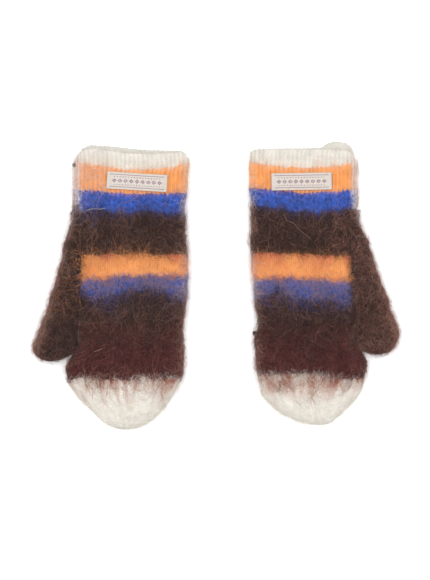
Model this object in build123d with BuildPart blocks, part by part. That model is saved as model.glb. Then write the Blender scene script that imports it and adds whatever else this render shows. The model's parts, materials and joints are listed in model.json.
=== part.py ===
"""A pair of striped, brushed-yarn knitted mittens, lying flat side by side with the backs of the hands up.

+Z is up, the fingertips point towards -Y and the cuffs towards +Y. The left-hand mitten lies at -X and the
right-hand one at +X, thumbs outward. The origin is under the middle of the pair, on the table.

Each mitten is one knitted tube with a thumb: a hollow shell, cut along its rows into bands of one yarn each.
Plan shapes are drawn once, in "outward" coordinates (distance from the pair's middle line, Y), and a side
of -1 or +1 puts them on the left or the right.
"""

import os
from math import cos, radians, sin

from build123d import *

os.makedirs("parts", exist_ok=True)

# --- the whole mitten -----------------------------------------------------------------------------------
LENGTH = 260.0  # fingertip to cuff edge
CUFF_WIDTH = 105.5
HALF_SPACE = 27.0  # half the table left free between the two cuffs
THICKNESS = 20.0  # of the empty mitten as it lies
EDGE_ROUND = 9.0  # how the knitted tube turns over at its sides
WALL = 3.5  # brushed knit fabric
CUFF_OVERRUN = 20.0  # extra length beyond the cuff edge, cut off again to leave an open mouth

CUFF_Y = LENGTH / 2
TIP_Y = -LENGTH / 2
CUFF_OUTER = HALF_SPACE + CUFF_WIDTH  # the cuff's thumb-side edge

# The hand's outline without the thumb: corners as (distance from the pair's middle line, Y, rounding radius).
HAND_CORNERS = (
    (HALF_SPACE, CUFF_Y + CUFF_OVERRUN, 0.0),
    (33.0, -94.0, 45.0),
    (71.0, TIP_Y, 40.0),
    (103.0, TIP_Y, 36.0),
    (139.0, -91.0, 40.0),
    (139.5, -68.0, 12.0),
    (126.5, -52.0, 25.0),
    (126.5, 20.0, 200.0),
    (CUFF_OUTER, 80.0, 200.0),
    (CUFF_OUTER, CUFF_Y + CUFF_OVERRUN, 0.0),
)

# --- bands of yarn, from the cuff edge to the fingertip ----------------------------------------------------
BANDS = {
    "cuff_welt": 20.0,
    "cuff_rib_band": 22.0,
    "wrist_band": 19.0,
    "palm_brown_band": 39.0,
    "palm_orange_band": 21.0,
    "knuckle_blue_band": 14.0,
    "finger_brown_band": 28.0,
    "finger_fold_band": 24.0,
    "finger_maroon_band": 24.0,
    "mitten_tip": 49.0,
}
GUSSET_BANDS = ("palm_brown_band", "palm_orange_band", "knuckle_blue_band", "finger_brown_band")
BODY_GAP = 0.3  # free space between pieces that move against each other

BAND_TOPS = {}
row = CUFF_Y
for name, length in BANDS.items():
    BAND_TOPS[name] = row
    row -= length

# --- thumb ------------------------------------------------------------------------------------------------
THUMB_TILT = 20.0  # degrees between the thumb and the hand
THUMB_RADIUS = 17.5  # of the rounded thumb tip
THUMB_TIP_CENTRE = (151.5, -48.0)
GUSSET_START = (131.0, 84.0)  # inside the wrist, where the thumb's outer edge leaves the hand
GUSSET_KNEE = 76.0  # from there the outer edge runs straight, for this far, to the rounded tip
GUSSET_KNEE_RADIUS = 150.0
THUMB_REACH_INSIDE = 118.0  # the inner edge runs on this far, well into the hand
GUSSET_LINE = 124.0  # where the hand's bands end and the brown thumb gusset begins
CROTCH_OUTWARD = 127.5
CROTCH_Y = -33.0
THUMB_CLEARANCE = 1.0  # between the thumb and the hand beside it

# --- inner seams: a ridge of joined edges that stands inward from the side wall -----------------------------
SEAM_DEPTH = 2.2
SEAM_HEIGHT = 2.0
SEAM_CLEARANCE = 0.05  # from the curved wall that it is sewn along

# --- woven label, sewn to the back of each cuff by its two short ends ----------------------------------------
LABEL_LENGTH = 55.0
LABEL_WIDTH = 15.6
LABEL_THICKNESS = 0.8
LABEL_PLACES = {"left": (72.5, 96.5, -3.5), "right": (78.5, 96.8, 1.0)}  # outward, Y, degrees of tilt
STITCH_LENGTH = 1.8
STITCH_WIDTH = 0.6
STITCH_HEIGHT = 0.4
STITCH_COUNT = 6
STITCH_PITCH = 2.4
STITCH_INSET = 1.6  # from the label's short end

FAR = 400.0  # longer than anything here, for cutting boxes

SIDES = {"left": -1, "right": 1}


def hand_plan(side):
    """The hand's outline from the cuff to the tip, without the thumb."""
    with BuildLine() as plan:
        FilletPolyline(
            [(side * outward, y) for outward, y, _ in HAND_CORNERS],
            radius=[radius for _, _, radius in HAND_CORNERS],
            close=True,
        )
    return plan.line


def thumb_axes(side):
    """The thumb's direction, root to tip, and the direction across it away from the hand."""
    along = Vector(side * sin(radians(THUMB_TILT)), -cos(radians(THUMB_TILT)))
    away = Vector(side * cos(radians(THUMB_TILT)), sin(radians(THUMB_TILT)))
    return along, away


def thumb_plan(side):
    """The thumb and its gusset, running on into the hand so that the two outlines overlap."""
    along, away = thumb_axes(side)
    tip_centre = Vector(side * THUMB_TIP_CENTRE[0], THUMB_TIP_CENTRE[1])
    outer_edge = tip_centre + away * THUMB_RADIUS
    inner_edge = tip_centre - away * THUMB_RADIUS
    gusset_knee = outer_edge - along * GUSSET_KNEE
    gusset_start = Vector(side * GUSSET_START[0], GUSSET_START[1])
    inside_hand = inner_edge - along * THUMB_REACH_INSIDE
    with BuildLine() as plan:
        FilletPolyline(inside_hand, gusset_start, gusset_knee, outer_edge, radius=(0, GUSSET_KNEE_RADIUS))
        ThreePointArc(outer_edge, tip_centre + along * THUMB_RADIUS, inner_edge)
        Line(inner_edge, inside_hand)
    return plan.line


def pillow(plan, inset):
    """A plan outline as a solid with rounded sides. The inset shrinks it evenly all round."""
    with BuildPart() as solid:
        with BuildSketch(Plane.XY.offset(inset)):
            add(plan)
            make_face()
            if inset > 0:
                offset(amount=-inset, kind=Kind.INTERSECTION, mode=Mode.REPLACE)
        extrude(amount=THICKNESS - 2 * inset)
        rims = solid.edges().group_by(Axis.Z)
        fillet(rims[0] + rims[-1], radius=EDGE_ROUND - inset)
    return solid.part


def seam_ridge(plan):
    """The ring of seam allowance just inside a shell's inner wall, at mid height."""
    with BuildPart() as ridge:
        with BuildSketch(Plane.XY.offset((THICKNESS - SEAM_HEIGHT) / 2)):
            add(plan)
            make_face()
            offset(amount=-WALL - SEAM_CLEARANCE, kind=Kind.INTERSECTION, mode=Mode.REPLACE)
            with BuildSketch(mode=Mode.PRIVATE) as middle:
                add(plan)
                make_face()
                offset(amount=-WALL - SEAM_DEPTH, kind=Kind.INTERSECTION, mode=Mode.REPLACE)
            add(middle.sketch, mode=Mode.SUBTRACT)
        extrude(amount=SEAM_HEIGHT)
    return ridge.part


def cutting_box(outward_from, outward_to, y_from, y_to, side):
    """A block between two distances from the middle line and two Y values, taller than the mitten."""
    with BuildPart() as block:
        centre = (side * (outward_from + outward_to) / 2, (y_from + y_to) / 2, THICKNESS / 2)
        with Locations(centre):
            Box(outward_to - outward_from, y_to - y_from, 3 * THICKNESS)
    return block.part


def thumb_root_plane(side):
    """The plane across the thumb at its crotch, with its normal towards the thumb tip."""
    along, _ = thumb_axes(side)
    return Plane(origin=(side * CROTCH_OUTWARD, CROTCH_Y, 0), z_dir=along)


def save(piece, name):
    """Label one finished piece and write it to its own file."""
    piece.label = name
    export_step(piece, f"parts/{name}.step")


def knitted_bands(side_name, hand_shell, whole_shell):
    """Cut the shell along its rows: one node for each band of yarn."""
    side = SIDES[side_name]
    for name, length in BANDS.items():
        beside_gusset = name in GUSSET_BANDS
        high = BAND_TOPS[name]
        low = high - length
        if name == "cuff_rib_band":
            low += BODY_GAP
        if name == "finger_maroon_band":
            high -= BODY_GAP
        shell = whole_shell if beside_gusset else hand_shell
        outer_limit = GUSSET_LINE if beside_gusset else FAR
        with BuildPart() as band:
            add(shell)
            add(cutting_box(0, outer_limit, low, high, side), mode=Mode.INTERSECT)
        save(band.part, f"{side_name}_{name}")


def thumb_pieces(side_name, thumb_shell, whole_shell, hand_outline):
    """The gusset, which stays with the hand, and the free thumb beyond the crotch."""
    side = SIDES[side_name]
    root = thumb_root_plane(side)
    with BuildPart() as gusset:
        add(whole_shell)
        add(cutting_box(GUSSET_LINE, FAR, CROTCH_Y, BAND_TOPS["palm_brown_band"], side), mode=Mode.INTERSECT)
        split(bisect_by=root.offset(-BODY_GAP), keep=Keep.BOTTOM)
    save(gusset.part, f"{side_name}_thumb_gusset")

    with BuildPart() as beside_hand:
        with BuildSketch(Plane.XY.offset(-THICKNESS)):
            add(hand_outline)
            make_face()
            offset(amount=THUMB_CLEARANCE, kind=Kind.ARC, mode=Mode.REPLACE)
        extrude(amount=3 * THICKNESS)
    with BuildPart() as thumb:
        add(thumb_shell)
        split(bisect_by=root, keep=Keep.TOP)
        add(beside_hand.part, mode=Mode.SUBTRACT)
    save(thumb.part, f"{side_name}_thumb")


def thumb_side_seams(side_name, hand_outline, thumb_outline):
    """The seam that closes the folded knit: up the thumb side of the cuff, round the thumb and the fingertip.

    It is in stretches, one for each part that can fold, and leaves out the soft bands that bend.
    """
    side = SIDES[side_name]
    hand_ridge = seam_ridge(hand_outline)
    hand_middle = (HALF_SPACE + CUFF_OUTER) / 2
    stretches = {
        "cuff_side_seam": (hand_middle, BAND_TOPS["wrist_band"] + BODY_GAP, CUFF_Y - WALL),
        "finger_side_seam": (hand_middle, BAND_TOPS["mitten_tip"], BAND_TOPS["finger_maroon_band"] - BODY_GAP),
        "tip_seam": (0, TIP_Y, BAND_TOPS["mitten_tip"]),
    }
    for name, (near, low, high) in stretches.items():
        with BuildPart() as seam:
            add(hand_ridge)
            add(cutting_box(near, FAR, low, high, side), mode=Mode.INTERSECT)
        save(seam.part, f"{side_name}_{name}")

    root = thumb_root_plane(side)
    thumb_ridge = seam_ridge(thumb_outline)
    _, away = thumb_axes(side)
    thumb_middle = Plane(origin=(side * THUMB_TIP_CENTRE[0], THUMB_TIP_CENTRE[1], 0), z_dir=away)
    with BuildPart() as gusset_seam:
        add(thumb_ridge)
        add(cutting_box(0, FAR, CROTCH_Y, BAND_TOPS["palm_brown_band"], side), mode=Mode.INTERSECT)
        split(bisect_by=root.offset(-BODY_GAP), keep=Keep.BOTTOM)
        split(bisect_by=thumb_middle, keep=Keep.TOP)
    save(gusset_seam.part, f"{side_name}_gusset_seam")

    with BuildPart() as thumb_seam:
        add(thumb_ridge)
        split(bisect_by=root.offset(BODY_GAP), keep=Keep.TOP)
    save(thumb_seam.part, f"{side_name}_thumb_seam")


def woven_label(side_name):
    """The label, and the short stitches that hold its two ends."""
    side = SIDES[side_name]
    outward, y, tilt = LABEL_PLACES[side_name]
    top_of_knit = Plane(origin=(side * outward, y, THICKNESS)).rotated((0, 0, tilt))
    with BuildPart() as label:
        with BuildSketch(top_of_knit):
            RectangleRounded(LABEL_LENGTH, LABEL_WIDTH, radius=0.8)
        extrude(amount=LABEL_THICKNESS)
    save(label.part, f"{side_name}_woven_label")

    stitch_rows = LABEL_LENGTH - 2 * STITCH_INSET
    with BuildPart() as stitches:
        with BuildSketch(top_of_knit.offset(LABEL_THICKNESS)):
            with GridLocations(stitch_rows, STITCH_PITCH, 2, STITCH_COUNT):
                SlotOverall(STITCH_LENGTH, STITCH_WIDTH, rotation=90)
        extrude(amount=STITCH_HEIGHT)
    save(stitches.part, f"{side_name}_label_stitches")


def mitten(side_name):
    """One complete mitten."""
    side = SIDES[side_name]
    hand = hand_plan(side)
    thumb = thumb_plan(side)
    hand_outer, hand_inner = pillow(hand, 0), pillow(hand, WALL)
    thumb_outer, thumb_inner = pillow(thumb, 0), pillow(thumb, WALL)
    with BuildPart() as hand_shell:
        add(hand_outer)
        add(hand_inner, mode=Mode.SUBTRACT)
    with BuildPart() as thumb_shell:
        add(thumb_outer)
        add(thumb_inner, mode=Mode.SUBTRACT)
    with BuildPart() as whole_shell:
        add(hand_outer)
        add(thumb_outer)
        add(hand_inner, mode=Mode.SUBTRACT)
        add(thumb_inner, mode=Mode.SUBTRACT)
    knitted_bands(side_name, hand_shell.part, whole_shell.part)
    thumb_pieces(side_name, thumb_shell.part, whole_shell.part, hand)
    thumb_side_seams(side_name, hand, thumb)
    woven_label(side_name)


for side_name in SIDES:
    mitten(side_name)
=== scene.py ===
"""Looks for a pair of brushed, striped mittens: knitted shells with real stitches, their mohair nap, edge
seams and woven labels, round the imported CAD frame.

Shapes are worked out in "mitten space": millimetres, u outwards from the line between the two mittens, y
towards the cuff and z up. Each mitten is that space, mirrored for the left hand.
"""

import json
import math

import bpy
import numpy as np
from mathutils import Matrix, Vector
from mathutils.bvhtree import BVHTree


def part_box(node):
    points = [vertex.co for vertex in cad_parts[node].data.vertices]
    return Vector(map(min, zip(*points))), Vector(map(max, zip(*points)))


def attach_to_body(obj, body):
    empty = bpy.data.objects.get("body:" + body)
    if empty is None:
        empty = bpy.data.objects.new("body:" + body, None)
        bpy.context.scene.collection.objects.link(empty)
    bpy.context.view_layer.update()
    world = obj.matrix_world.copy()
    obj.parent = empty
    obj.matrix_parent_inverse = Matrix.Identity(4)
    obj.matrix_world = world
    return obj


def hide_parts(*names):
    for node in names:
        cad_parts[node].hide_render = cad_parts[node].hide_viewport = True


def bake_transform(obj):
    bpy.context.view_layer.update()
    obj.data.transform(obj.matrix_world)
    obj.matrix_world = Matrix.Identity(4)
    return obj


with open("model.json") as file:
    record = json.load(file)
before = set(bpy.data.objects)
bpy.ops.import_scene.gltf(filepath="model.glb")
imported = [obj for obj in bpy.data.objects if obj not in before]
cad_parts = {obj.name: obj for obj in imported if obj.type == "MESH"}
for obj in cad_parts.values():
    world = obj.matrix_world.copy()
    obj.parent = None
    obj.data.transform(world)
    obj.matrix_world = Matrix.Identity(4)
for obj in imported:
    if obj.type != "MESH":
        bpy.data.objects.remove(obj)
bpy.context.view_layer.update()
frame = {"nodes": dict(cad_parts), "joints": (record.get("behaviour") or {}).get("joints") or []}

MM = 0.001
SIDES = {"left": -1, "right": 1}
SEED = 462

# ---- the knit
WALES = 110                 # columns of stitches round the hand
STEPS_PER_WALE = 4          # mesh columns in each
COLUMNS = WALES * STEPS_PER_WALE
COURSE = 1.9                # height of one row of stitches
ROW_STEP = 0.5              # distance between mesh rows
INNER_STEP = 4              # the plain inner face takes every fourth column
INNER_ROW = 4               # and a row about every 4 mm
TIP_ROWS = 150              # mesh rows of the rounded fingertip
GUSSET_ROWS = 105           # rows of the thumb's surface that belong to the gusset
OUTSIDE = 150               # how far off lines start that meet the thumb's outline from outside
WALL = 2.6                  # thickness of the fabric

STITCH_DEPTH = 0.17         # relief of one stitch
WALE_DEPTH = 0.09           # relief between two columns of stitches
RIB_DEPTH = 0.5             # relief of the cuff's ribs

# ---- the lying shape
MID = 10.0                  # the height at which the CAD outline is read
EDGE_HEIGHT = 7.6           # where the upper and the lower face meet
CLEARANCE = 0.9             # from the fabric's middle line to the table
CROWN = {"cuff": 14.6, "hand": 17.4, "tip": 14.8}
EDGE_ROLL = 17.0            # how far in from its edge the upper face is still rounded
UNDER_ROLL = 9.0            # the same, underneath
TIP_ROLL = 26.0             # the same, from the fingertip
THUMB_TIP_ROLL = 20.0       # and from the thumb's tip
SWELL = 0.8                 # gentle hills in the lying fabric
GUSSET_COLUMNS = 24         # mesh columns of the hand that lie beyond the gusset line, on each face
GUSSET_LINE = 124.0         # u of that line towards the wrist
CREASE_START = -6.0         # where the crease between hand and thumb begins
CREASE_HALF_WIDTH = 15.0
CREASE_FADE = 7.0           # how far it runs on below the crotch
LOWEST = 0.15               # the least height of a stitch or a fibre's middle line over the table
THUMB_TILT = math.radians(20)
GUSSET_BEND = 30            # length of the gusset along the thumb from its root, listed among attach's bends but not used to bend it
HAND_MIDDLE = 80            # u of a point inside the hand
HAND_INNER = 27.0           # u of the little-finger edge, roughly
MOUTH_ROOM = 8              # how far the surface runs on past the CAD's mouth
THUMB_COLUMNS = 140
THUMB_CROWN = 16.6
THUMB_ROLL = 14.0

BANDS = ["cuff_welt", "cuff_rib_band", "wrist_band", "palm_brown_band", "palm_orange_band",
         "knuckle_blue_band", "finger_brown_band", "finger_fold_band", "finger_maroon_band", "mitten_tip"]
GUSSET_BANDS = BANDS[3:7]
BODY_OF = {"cuff_welt": "cuff", "cuff_rib_band": "cuff", "palm_brown_band": "hand",
           "palm_orange_band": "hand", "knuckle_blue_band": "hand", "finger_brown_band": "hand",
           "finger_maroon_band": "fingers", "mitten_tip": "fingers", "thumb": "thumb"}

# How much higher the upper border of each band is than its CAD level, in mm, at even distances from the
# thumb side to the little-finger side.
BORDER_SHIFT = {
    "cuff_rib_band": {"left": (6, 2, -2.5, -1.5, 3), "right": (4.5, 1.5, -1, 1, 5.5)},
    "wrist_band": {"left": (2.6, 0, -3, -2.4, -1.6), "right": (1, -0.5, -2, 0.5, 3)},
    "palm_brown_band": {"left": (-4, 0, 3, -1, -0.5, 1.5, 0, -1.5, -2.5),
                        "right": (1, 2, 1, -1, 0, 1, 3, 5, 7)},
    "palm_orange_band": {"left": (0, -1, 0.6, -0.5, 0.2), "right": (-1.5, -1.6, 0.2, 1, 1)},
    "knuckle_blue_band": {"left": (-7, -2, 0, 0.6, 0), "right": (-8, -4, -2.5, -1, -5)},
    "finger_brown_band": {"left": (-3.5, -2.6, -4.5, -2.2, 1.5, 4.5, 2.6, -3, -5),
                          "right": (-11, -10, -7, -5.5, -6.5, -4, 3, -2, -6)},
    "finger_fold_band": {"left": (1, -2, 1, 3, -1, 1, -2, 2, 0), "right": (0, 2, -1, 2, 0, -2, 1, -1, 1)},
    "finger_maroon_band": {"left": (2, 0, 3, 1, 0), "right": (4, 1, 0, 2, 4)},
    "mitten_tip": {"left": (-4.5, -2.6, -4.2, -2.2, -3.6), "right": (-1, -3.8, 0.4, 1, 0)},
}
# How far the border rises on each rib, or on each stitch, and its free waver.
BORDER_TEETH = {
    "cuff_rib_band": (1.1, 0.8), "wrist_band": (0.9, 0.8), "palm_brown_band": (0.8, 1.0),
    "palm_orange_band": (0.5, 0.7), "knuckle_blue_band": (0.9, 0.9), "finger_brown_band": (1.0, 1.3),
    "finger_fold_band": (1.2, 1.6), "finger_maroon_band": (1.2, 1.2), "mitten_tip": (0.9, 0.9),
}
# Where each lying mitten is narrower or wider than the CAD outline, as (y, mm outwards): along the
# little-finger edge, along the gusset's and the thumb's outer edge, and beside the thumb on the fingers.
OUTLINE_SHIFT = {
    "left": {
        "inner": [(-125, 0), (-91, 0), (-70, -2.5), (-40, -0.5), (0, -4.5), (25, -4), (50, 0), (75, 0),
                  (95, -2), (115, -3)],
        "outer": [(-58, 0), (-48, -4.5), (-25, -5.5), (5, -3.5), (20, -3), (36, -0.5), (50, -2.5), (60, -3),
                  (70, -0.5), (115, -1.5)],
        "finger": [(-130, 0), (-110, -2), (-76, -1.5), (-64, -4.5), (-55, -3), (-45, 0)],
    },
    "right": {
        "inner": [(-130, -1), (-125, -3), (-115, -5.5), (-105, -1), (-95, 5), (-75, 6), (-50, 7), (-36, 8.5),
                  (-25, 6.5), (0, 5), (20, 2.5), (41, 3.5), (69, 4), (91, 2.8), (112, 2.6), (122, 5)],
        "outer": [(-50, -1), (-30, 0), (40, 0), (48, -2), (60, -5.2), (69, -3), (74, -2), (115, -1.5)],
        "finger": [(-130, 0), (-124, -5), (-117, -4), (-105, 0), (-95, 0), (-82, -1.5), (-72, -2),
                   (-60, 1.5), (-50, 1), (-40, 0)],
    },
}
# How far the little-finger edge bulges towards the other mitten on the fingers, at once below STEP_TOP and
# less and less towards STEP_END.
EDGE_STEP = {"left": 0.0, "right": 3.0}
STEP_TOP = -40
STEP_END = -88
TIP_LENGTH = {"left": 1.02, "right": 0.935}      # of the CAD tip
TIP_SKEW = {"left": -4.0, "right": 8.0}          # how far its end leans outwards
THUMB_LENGTH = {"left": 1.08, "right": 0.9}      # of the CAD thumb
THUMB_GAP = 0.8             # between the thumb and the fingers
# The cuff's mouth, as (u, y) points, on the back of the hand and on the palm.
MOUTH = {
    "left": {
        "back": [(26, 119), (28, 122), (31, 123.6), (46, 122.4), (67, 122), (83, 122.6), (99, 125.2),
                 (110, 126.6), (120, 126), (127, 123), (131, 118)],
        "palm": [(26, 119), (27.5, 123.5), (31, 126.2), (46, 126.4), (67, 127), (83, 128.6), (99, 130.4),
                 (116, 131.4), (124, 128.4), (129, 122), (131, 118)],
    },
    "right": {
        "back": [(31, 120), (33, 124.6), (37, 126.6), (88, 126.2), (105, 126.2), (120, 125), (127, 121),
                 (131, 115)],
        "palm": [(31, 120), (33, 125.6), (39, 128), (97, 128.6), (102, 132.5), (109, 134.8), (120, 133.6),
                 (126, 129.5), (129, 121), (131, 115)],
    },
}

# ---- the labels
LABEL_CREAM = (236, 227, 217)
LABEL_MAUVE = (150, 108, 138)
LABEL_THREAD = (232, 226, 216)
LABEL_GRID = 0.25           # distance between the cloth's mesh points
LABEL_THICKNESS = 0.7
DIAMOND_PITCH = 5.2
STITCHES = 6                # at each end
LABEL_GAP = RIB_DEPTH + 0.35     # from the knit's smooth surface to the label


# ---- small tools
def linear(colour):
    """An sRGB colour from 0 to 255 as linear light."""
    share = np.array(colour, float) / 255
    return np.where(share <= 0.04045, share / 12.92, ((share + 0.055) / 1.055) ** 2.4)


def smooth(t):
    t = np.clip(t, 0, 1)
    return t * t * (3 - 2 * t)


def unit(v):
    return v / np.maximum(np.linalg.norm(v, axis=-1, keepdims=True), 1e-9)


def path_length(path):
    """The way walked at each point of a path."""
    return np.concatenate([[0], np.cumsum(np.linalg.norm(np.diff(path, axis=0), axis=1))])


def look_up(at, stops, table):
    """The table's values between its stops, column by column."""
    return np.stack([np.interp(at, stops, column) for column in table.T], axis=-1)


def add_object(name, data):
    thing = bpy.data.objects.new(name, data)
    bpy.context.scene.collection.objects.link(thing)
    return thing


def waves(a, b, length, seed, count=7):
    """Soft random hills of about that length over the plane (a, b), from -1 to 1."""
    rng = np.random.default_rng(SEED + seed)
    total = 0
    for _ in range(count):
        turn, phase = rng.uniform(0, 2 * math.pi, 2)
        pitch = 2 * math.pi / (length * rng.uniform(0.7, 1.6))
        total = total + np.sin(pitch * (a * math.cos(turn) + b * math.sin(turn)) + phase)
    return total / math.sqrt(count) / 1.4


def grain(a, b, seed):
    """Uneven values from 0 to 1 on a grid of cells of size 1, blended between cells."""
    cell_a, cell_b = np.floor(a).astype(int), np.floor(b).astype(int)
    fa, fb = smooth(a - cell_a), smooth(b - cell_b)

    def value(i, j):
        scattered = np.sin(i * 127.1 + j * 311.7 + seed * 74.7) * 43758.5453
        return scattered - np.floor(scattered)

    near = value(cell_a, cell_b) * (1 - fa) + value(cell_a + 1, cell_b) * fa
    far = value(cell_a, cell_b + 1) * (1 - fa) + value(cell_a + 1, cell_b + 1) * fa
    return near * (1 - fb) + far * fb


class Builder:
    """Collects points with a colour and weave coordinates, and faces of any size, for one mesh."""

    def __init__(self):
        self.points, self.tints, self.weaves, self.faces, self.slots = [], [], [], [], []
        self.count = 0

    def add(self, points, tint=(0, 0, 0), weave=(0, 0, 0)):
        """Adds an array of points and returns their numbers in the same layout."""
        shape = points.shape[:-1]
        self.points.append(points.reshape(-1, 3))
        self.tints.append(np.broadcast_to(tint, points.shape).reshape(-1, 3))
        self.weaves.append(np.broadcast_to(weave, points.shape).reshape(-1, 3))
        size = int(np.prod(shape))
        ids = np.arange(self.count, self.count + size).reshape(shape)
        self.count += size
        return ids

    def face(self, faces, slot=0):
        faces = np.asarray(faces, dtype=np.int64)
        self.faces.append(faces)
        self.slots.append(np.broadcast_to(slot, len(faces)))

    def quads(self, ids, flip=False):
        """Quads between neighbours in a grid of point numbers."""
        quads = np.stack([ids[:-1, :-1], ids[:-1, 1:], ids[1:, 1:], ids[1:, :-1]], axis=-1).reshape(-1, 4)
        self.face(quads[:, ::-1] if flip else quads)

    def zip(self, fine, coarse, flip=False):
        """Triangles between two lines of point numbers, the first with at least as many points."""
        match = np.rint(np.arange(len(fine)) * (len(coarse) - 1) / (len(fine) - 1)).astype(int)
        near = np.stack([fine[:-1], fine[1:], coarse[match[:-1]]], axis=-1)
        step = np.flatnonzero(match[1:] != match[:-1])
        far = np.stack([fine[step + 1], coarse[match[step + 1]], coarse[match[step]]], axis=-1)
        both = np.concatenate([near, far])
        self.face(both[:, ::-1] if flip else both)

    def fan(self, ring, centre, flip=False):
        fan = np.stack([ring[:-1], ring[1:], np.full(len(ring) - 1, centre)], axis=-1)
        self.face(fan[:, ::-1] if flip else fan)

    def piece(self, name, side, materials):
        """The object, in metres, mirrored for the left hand."""
        places = np.concatenate(self.points) * MM
        places[:, 0] *= side
        faces = [f[:, ::-1] for f in self.faces] if side < 0 else self.faces
        sizes = np.concatenate([np.full(len(f), f.shape[1]) for f in faces])
        loops = np.concatenate([f.ravel() for f in faces]).astype(np.int32)
        mesh = bpy.data.meshes.new(name)
        mesh.vertices.add(len(places))
        mesh.vertices.foreach_set("co", places.ravel())
        mesh.loops.add(len(loops))
        mesh.loops.foreach_set("vertex_index", loops)
        mesh.polygons.add(len(sizes))
        starts = np.concatenate([[0], np.cumsum(sizes)[:-1]])
        mesh.polygons.foreach_set("loop_start", starts.astype(np.int32))
        mesh.polygons.foreach_set("material_index", np.concatenate(self.slots).astype(np.int32))
        for material in materials:
            mesh.materials.append(material)
        mesh.update(calc_edges=True)
        mesh.polygons.foreach_set("use_smooth", np.ones(len(sizes), dtype=bool))
        for label, values in (("tint", self.tints), ("weave", self.weaves)):
            attribute = mesh.attributes.new(label, "FLOAT_VECTOR", "POINT")
            attribute.data.foreach_set("vector", np.concatenate(values).astype(np.float32).ravel())
        return add_object(name, mesh)


# ---- the mittens' surfaces
class Shell:
    """A smooth surface as rows and columns of points, which everything else is laid on."""

    def __init__(self, points, closed):
        self.points = points
        self.closed = closed
        if closed:
            padded = np.concatenate([points[:, -2:-1], points, points[:, 1:2]], axis=1)
            along_column = np.gradient(padded, axis=1)[:, 1:-1]
        else:
            along_column = np.gradient(points, axis=1)
        along_row = np.gradient(points, axis=0)
        self.normals = unit(np.cross(along_column, along_row))
        self.sizes = np.linalg.norm(np.stack([along_row, along_column], axis=-2), axis=-1)
        self.rows, self.columns = points.shape[0], points.shape[1] - 1

    def _look_up(self, grid, row, column):
        column = np.mod(column, self.columns) if self.closed else np.clip(column, 0, self.columns)
        row = np.clip(row, 0, self.rows - 1)
        r = np.minimum(row.astype(int), self.rows - 2)
        c = np.minimum(column.astype(int), self.columns - 1)
        fr, fc = (row - r)[..., None], (column - c)[..., None]
        upper = grid[r, c] * (1 - fc) + grid[r, c + 1] * fc
        lower = grid[r + 1, c] * (1 - fc) + grid[r + 1, c + 1] * fc
        return upper * (1 - fr) + lower * fr

    def at(self, row, column, height=0.0):
        """Points that far above the surface."""
        row, column = np.broadcast_arrays(np.asarray(row, float), np.asarray(column, float))
        height = np.broadcast_to(height, row.shape)[..., None]
        upwards = unit(self._look_up(self.normals, row, column))
        return self._look_up(self.points, row, column) + height * upwards

    def size(self, row, column):
        """How many mm one row and one column take there."""
        return np.maximum(self._look_up(self.sizes, row, column), 0.02)


def outline_tree(side, nodes):
    """The CAD nodes in mitten space, ready to be met by straight lines."""
    points, faces = [], []
    for node in nodes:
        mesh = frame["nodes"][f"{side}_{node}"].data
        start = len(points)
        points += [(SIDES[side] * v.co.x / MM, v.co.y / MM, v.co.z / MM) for v in mesh.vertices]
        faces += [[start + i for i in p.vertices] for p in mesh.polygons]
    return BVHTree.FromPolygons(points, faces)


def outline(tree, start, towards):
    """Where a level line meets the outline first; it steps over the narrow gaps between two bands."""
    for shift in (0, 0.4, -0.4):
        origin = Vector((start[0] - shift * towards[1], start[1] + shift * towards[0], MID))
        hit = tree.ray_cast(origin, Vector((towards[0], towards[1], 0)))[0]
        if hit is not None:
            return np.array(hit[:2])
    raise ValueError(f"no outline from {start} towards {towards}")


def level(side, node, end):
    """The y of a CAD node's cuff end (1) or fingertip end (0)."""
    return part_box(f"{side}_{node}")[end].y / MM


def arc_resample(path, corners, counts):
    """Points along a dense path, evenly between the given corner indices, with that many steps for each."""
    length = path_length(path)
    stops = np.interp(corners, np.arange(len(path)), length)
    at = np.concatenate([np.linspace(a, b, n, endpoint=False) for a, b, n in zip(stops, stops[1:], counts)]
                        + [[stops[-1]]])
    return look_up(at, length, path)


def roll(distance, reach):
    """A rounded edge: 0 at the edge and 1 from reach inwards."""
    return np.sqrt(np.maximum(1 - (1 - np.clip(distance / reach, 0, 1)) ** 2, 0))


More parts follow.
